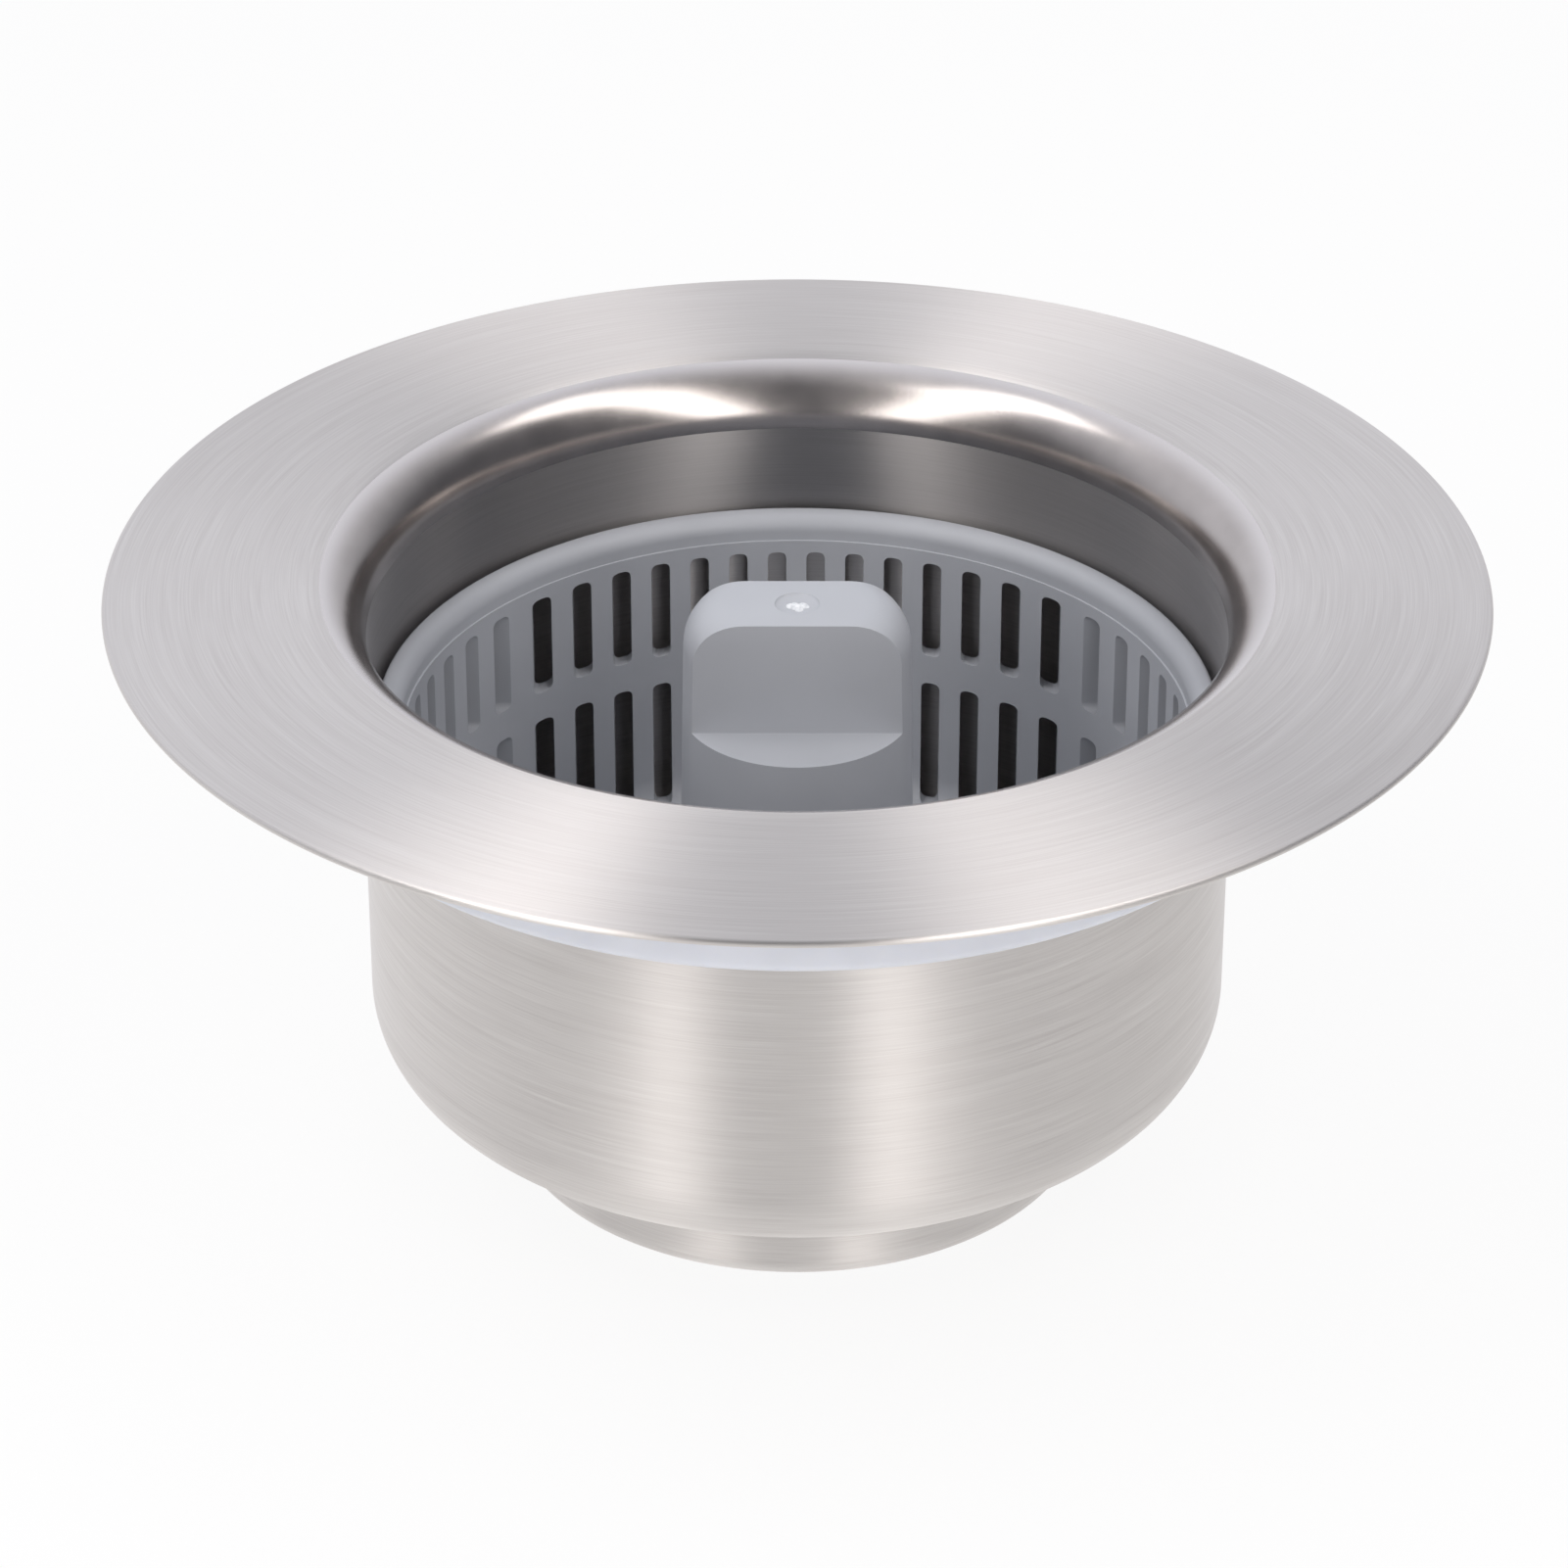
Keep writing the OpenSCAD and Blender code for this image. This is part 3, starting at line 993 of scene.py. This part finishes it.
tree.links.new(colour.outputs["Color"], shader.inputs["Base Color"])
tree.links.new(bump.outputs["Normal"], shader.inputs["Normal"])
seal.data.materials.append(silicone_finish)
print(silicone_finish.name, "cloud mm", round(SILICONE_CLOUD, 2))

# %% [markdown]
# The basket and the post are ABS, moulded in a mould with a fine spark finish.
# That leaves a satin skin with a grain of about 0.1 mm, which spreads each highlight a little.

# %% The moulded grey plastic finish
MOULD_GRAIN = 0.12
MOULD_TONE = 50 / 3
MOULD_DEPTH = 0.01
plastic_finish, tree, shader = new_finish("moulded_grey_abs", "#b4b7bd", 0.45)
shader.inputs["IOR"].default_value = 1.53
place = add_node(tree, "ShaderNodeTexCoord").outputs["Object"]
grain = add_node(
    tree,
    "ShaderNodeTexNoise",
    inputs={"Scale": 1 / (MOULD_GRAIN * MM), "Detail": 1.0},
    links={"Vector": place},
).outputs["Fac"]
tone = add_node(
    tree,
    "ShaderNodeTexNoise",
    inputs={"Scale": 1 / (MOULD_TONE * MM), "Detail": 2.0},
    links={"Vector": place},
).outputs["Fac"]
colour = add_node(
    tree,
    "ShaderNodeValToRGB",
    links={"Fac": tone},
    stops=((NOISE_LOW, "#b0b3b9"), (NOISE_HIGH, "#b8bbc1")),
)
rough = add_node(
    tree,
    "ShaderNodeMapRange",
    inputs={"From Min": NOISE_LOW, "From Max": NOISE_HIGH, "To Min": 0.42, "To Max": 0.5},
    links={"Value": tone},
)
bump = add_node(
    tree,
    "ShaderNodeBump",
    inputs={"Strength": 0.25, "Distance": MOULD_DEPTH * MM},
    links={"Height": grain},
)
tree.links.new(colour.outputs["Color"], shader.inputs["Base Color"])
tree.links.new(rough.outputs["Result"], shader.inputs["Roughness"])
tree.links.new(bump.outputs["Normal"], shader.inputs["Normal"])
basket.data.materials.append(plastic_finish)
post.data.materials.append(plastic_finish)
print(plastic_finish.name, "grain mm", MOULD_GRAIN)

# %% [markdown]
# Where the plastic was torn off, it was stretched, and stretched ABS turns white.
# The mark is the same plastic, so it only gets a paler and more uneven colour.

# %% The white mark where the plastic was torn off
MARK_FLECK = 0.4
MARK_WHITE_FROM = 0.6
mark_finish, tree, shader = new_finish("stressed_abs_mark", "#dfe2e6", 0.5)
place = add_node(tree, "ShaderNodeTexCoord").outputs["Object"]
flecks = add_node(
    tree, "ShaderNodeTexNoise", inputs={"Scale": 1 / (MARK_FLECK * MM)}, links={"Vector": place}
).outputs["Fac"]
colour = add_node(
    tree,
    "ShaderNodeValToRGB",
    links={"Fac": flecks},
    stops=((NOISE_LOW, "#d0d4d8"), (MARK_WHITE_FROM, "#eceef1")),
)
tree.links.new(colour.outputs["Color"], shader.inputs["Base Color"])
mark.data.materials.append(mark_finish)
print(mark_finish.name, "fleck mm", MARK_FLECK)

# %% [markdown]
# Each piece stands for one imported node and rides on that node's body, so it moves when the joint moves.

# %% Seat the pieces on the frame
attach(bowl, "bowl")
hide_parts("strainer_body")
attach(seal, "bowl")
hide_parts("flange_seal")
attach(basket, "basket")
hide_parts("basket")
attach(post, "basket")
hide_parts("grip_post")
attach(mark, "basket")
print("pieces:", [piece.name for piece in (bowl, seal, basket, post, mark)])

# %% [markdown]
# The studio is a white floor and a room that is pale behind and dim in front, with four soft boxes.
# Where the camera or a reflection sees the floor, part of it shines evenly, so its shadow stays faint.

# %% The floor
FLOOR_SIZE = 6.0
EVEN_SHARE = 0.88
deselect_all()
bpy.ops.mesh.primitive_plane_add(size=FLOOR_SIZE, location=(0, 0, 0))
floor = bpy.context.active_object
floor.name = "floor"
floor_finish, tree, shader = new_finish("white_floor", "#f4f4f4", 0.9)
shader.inputs["Specular IOR Level"].default_value = 0.0
even = add_node(tree, "ShaderNodeEmission", inputs={"Color": linear("#ffffff"), "Strength": 1.0})
ray = add_node(tree, "ShaderNodeLightPath").outputs
seen = add_node(
    tree,
    "ShaderNodeMath",
    {"operation": "MAXIMUM"},
    links={0: ray["Is Camera Ray"], 1: ray["Is Glossy Ray"]},
).outputs[0]
seen = add_node(
    tree, "ShaderNodeMath", {"operation": "MAXIMUM"}, links={0: seen, 1: ray["Is Transmission Ray"]}
).outputs[0]
share = add_node(
    tree, "ShaderNodeMath", {"operation": "MULTIPLY"}, {1: EVEN_SHARE}, {0: seen}
).outputs[0]
blend = add_node(
    tree, "ShaderNodeMixShader", links={0: share, 1: shader.outputs[0], 2: even.outputs[0]}
)
tree.links.new(blend.outputs[0], tree.nodes["Material Output"].inputs["Surface"])
floor.data.materials.append(floor_finish)
print("floor size in metres", FLOOR_SIZE)

# %% [markdown]
# Two long soft boxes lean outwards at the front.
# They draw the two pale strips down the cup and over the bend.
# Two smaller ones stand high at the sides and spread the highlights on the flange.
# Each is a rectangle of light a metre away that faces the strainer, turned about its own aim by its lean.
# Its size is in metres and its power in watts.
# Its colour is linear light already, a little warmer than white.


# %% The soft boxes
LAMP_COLOUR = (1.0, 0.965, 0.94)


def soft_box(name, azimuth, elevation, lean, size, power):
    """A light aimed at the strainer from a metre away; azimuth 0 is the camera's side, right positive."""
    deselect_all()
    a, e = math.radians(azimuth), math.radians(elevation)
    place = Vector((math.sin(a) * math.cos(e), -math.cos(a) * math.cos(e), math.sin(e)))
    bpy.ops.object.light_add(type="AREA", location=place)
    lamp = bpy.context.active_object
    lamp.name = name
    lamp.data.shape = "RECTANGLE"
    lamp.data.size, lamp.data.size_y = size
    lamp.data.energy = power
    lamp.data.color = LAMP_COLOUR
    roll = Quaternion((0, 0, 1), math.radians(lean))
    lamp.rotation_euler = (place.to_track_quat("Z", "Y") @ roll).to_euler()
    print(name, "watts", power, "at", [round(value, 2) for value in place])


soft_box("left_box", -38, 34, 26, (0.30, 1.15), 3.5)
soft_box("right_box", 30, 34, -27, (0.30, 1.15), 3.9)
soft_box("left_top_box", -85, 62, 0, (0.55, 0.30), 1.4)
soft_box("right_top_box", 85, 62, 0, (0.55, 0.30), 1.4)

# %% [markdown]
# Polished and brushed steel mostly shows its surroundings, so an even room would make it look flat.
# The room's light grows along one axis, from a dim front to a bright back, and gives the mouth its depth.

# %% The room
ROOM_AXIS = Vector((-0.30, 0.70, 0.55))
ROOM_BRIGHT_FROM = 0.85
ROOM_STRENGTH = 0.96
world = bpy.data.worlds.new("studio_room")
bpy.context.scene.world = world
world.use_nodes = True
tree = world.node_tree
room = tree.nodes["Background"]
direction = add_node(tree, "ShaderNodeTexCoord").outputs["Generated"]
backness = add_node(
    tree, "ShaderNodeVectorMath", {"operation": "DOT_PRODUCT"}, {1: ROOM_AXIS}, {0: direction}
).outputs["Value"]
depth_share = add_node(
    tree,
    "ShaderNodeMapRange",
    {"interpolation_type": "SMOOTHSTEP"},
    {"From Min": 0.0, "From Max": ROOM_BRIGHT_FROM},
    {"Value": backness},
).outputs["Result"]
colour = add_node(
    tree, "ShaderNodeValToRGB", links={"Fac": depth_share}, stops=((0.0, "#66676c"), (1.0, "#f6f8ff"))
)
tree.links.new(colour.outputs["Color"], room.inputs["Color"])
room.inputs["Strength"].default_value = ROOM_STRENGTH
print("room strength", ROOM_STRENGTH)

# %% [markdown]
# The camera stands at the angle and distance of the picture.
# That is a long lens a good half metre away, 30 degrees up.

# %% Camera and colour
CAMERA_LENS = 135.0
CAMERA_RISE = 30.32
CAMERA_DISTANCE = 606.4
AIM_X = -1.34
AIM_DROP = 24.29
rise = math.radians(CAMERA_RISE)
aim = Vector((AIM_X, 0, EDGE_Z - AIM_DROP))
back_off = Vector((0, -math.cos(rise), math.sin(rise))) * CAMERA_DISTANCE
bpy.ops.object.camera_add(location=(aim + back_off) * MM, rotation=(math.pi / 2 - rise, 0, 0))
camera = bpy.context.active_object
camera.data.lens = CAMERA_LENS
camera.data.sensor_width = 36.0
camera.data.clip_start = 0.01
bpy.context.scene.camera = camera
bpy.context.scene.view_settings.view_transform = "Standard"
print("camera at", [round(value, 3) for value in camera.location])
